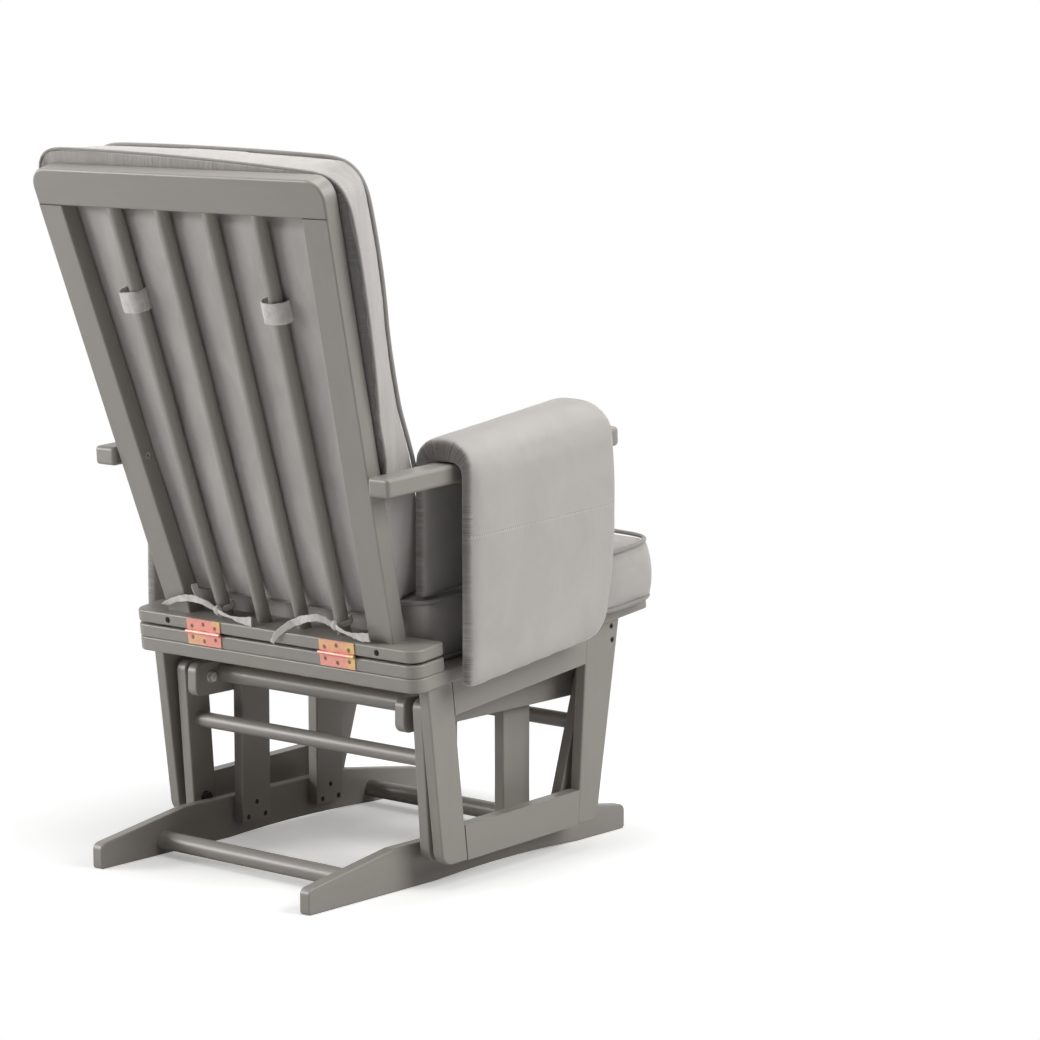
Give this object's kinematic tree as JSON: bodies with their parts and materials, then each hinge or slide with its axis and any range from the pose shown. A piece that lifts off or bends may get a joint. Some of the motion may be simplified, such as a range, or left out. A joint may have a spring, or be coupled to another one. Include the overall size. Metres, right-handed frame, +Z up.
{
  "type": "glider chair",
  "caption": "Gliding armchair: slatted leaning back and tilted seat hung from swing links on a low floor base, with loose seat and back cushions and draped arm pads.",
  "frame": {"origin": "middle of the footprint on the floor, z = 0 under the runners", "axes": "+Z up, -Y towards the front edge of the seat, +X towards the sitter's left"},
  "size_m": [0.616, 0.6987, 0.9932],
  "materials": {
    "frame_lacquer": "warm grey satin lacquer",
    "slat_wood": "plain sanded softwood",
    "bolt_steel": "zinc plated",
    "hinge_steel": "warm zinc plated",
    "bush_plastic": "moulded, matt",
    "cushion_cloth": "brushed microfibre velvet",
    "strap_cloth": "same cloth, folded and stitched flat"
  },
  "bodies": {
    "base": {"base_screws": "bolt_steel", "floor_stretcher_front": "frame_lacquer", "floor_stretcher_rear": "frame_lacquer", "hanger_rail_left": "frame_lacquer", "hanger_rail_right": "frame_lacquer", "hanger_stretcher": "frame_lacquer", "runner_left": "frame_lacquer", "runner_right": "frame_lacquer", "upper_pivot_bolts": "bolt_steel", "upright_front_left": "frame_lacquer", "upright_front_right": "frame_lacquer", "upright_rear_left": "frame_lacquer", "upright_rear_right": "frame_lacquer"},
    "rear_links": {"rear_link_bushes": "bush_plastic", "rear_link_left": "frame_lacquer", "rear_link_right": "frame_lacquer", "rear_link_stretcher": "frame_lacquer"},
    "front_links": {"front_link_bushes": "bush_plastic", "front_link_left": "frame_lacquer", "front_link_right": "frame_lacquer", "front_link_stretcher": "frame_lacquer"},
    "seat": {"arm_bolts": "bolt_steel", "arm_left": "frame_lacquer", "arm_pad_left": "cushion_cloth", "arm_pad_right": "cushion_cloth", "arm_post_left": "frame_lacquer", "arm_post_right": "frame_lacquer", "arm_right": "frame_lacquer", "deck_front_board": "frame_lacquer", "deck_rear_board": "frame_lacquer", "deck_side_board_left": "frame_lacquer", "deck_side_board_right": "frame_lacquer", "front_leg_left": "frame_lacquer", "front_leg_right": "frame_lacquer", "hinge_leaves_lower": "hinge_steel", "hinge_rail": "frame_lacquer", "hinge_screws_lower": "hinge_steel", "lower_pivot_bolts": "bolt_steel", "rear_leg_left": "frame_lacquer", "rear_leg_right": "frame_lacquer", "seat_cushion": "cushion_cloth", "seat_slats": "slat_wood", "side_frame_screws": "bolt_steel", "side_rail_lower_left": "frame_lacquer", "side_rail_lower_right": "frame_lacquer", "side_rail_upper_left": "frame_lacquer", "side_rail_upper_right": "frame_lacquer"},
    "back": {"back_barrel_nuts": "bolt_steel", "back_cushion": "cushion_cloth", "back_foot_rail": "frame_lacquer", "back_post_left": "frame_lacquer", "back_post_right": "frame_lacquer", "back_slat_1": "frame_lacquer", "back_slat_2": "frame_lacquer", "back_slat_3": "frame_lacquer", "back_slat_4": "frame_lacquer", "back_top_rail": "frame_lacquer", "cushion_straps": "strap_cloth", "hinge_leaves_upper": "hinge_steel", "hinge_screws_upper": "hinge_steel"}
  },
  "joints": [
    {"name": "rear_link_swing", "type": "hinge", "parent": "base", "child": "rear_links", "pos_m": [0, 0.097, 0.24], "axis": [1, 0, 0], "range_deg": [-12, 12]},
    {"name": "seat_ride", "type": "hinge", "parent": "rear_links", "child": "seat", "pos_m": [0, 0.0835, 0.06051], "axis": [1, 0, 0], "range_deg": [-15.1, 15.1]},
    {"name": "front_link_swing", "type": "hinge", "parent": "base", "child": "front_links", "pos_m": [0, -0.244, 0.24], "axis": [1, 0, 0], "range_deg": [-12.8, 12.8]},
    {"name": "back_fold", "type": "hinge", "parent": "seat", "child": "back", "pos_m": [0, 0.17237, 0.31943], "axis": [-1, 0, 0], "range_deg": [0, 95]}
  ],
  "couplings": [
    {"joint": "seat_ride", "follows": "rear_link_swing", "ratio": -1.2506},
    {"joint": "front_link_swing", "follows": "rear_link_swing", "ratio": 1.0592}
  ]
}
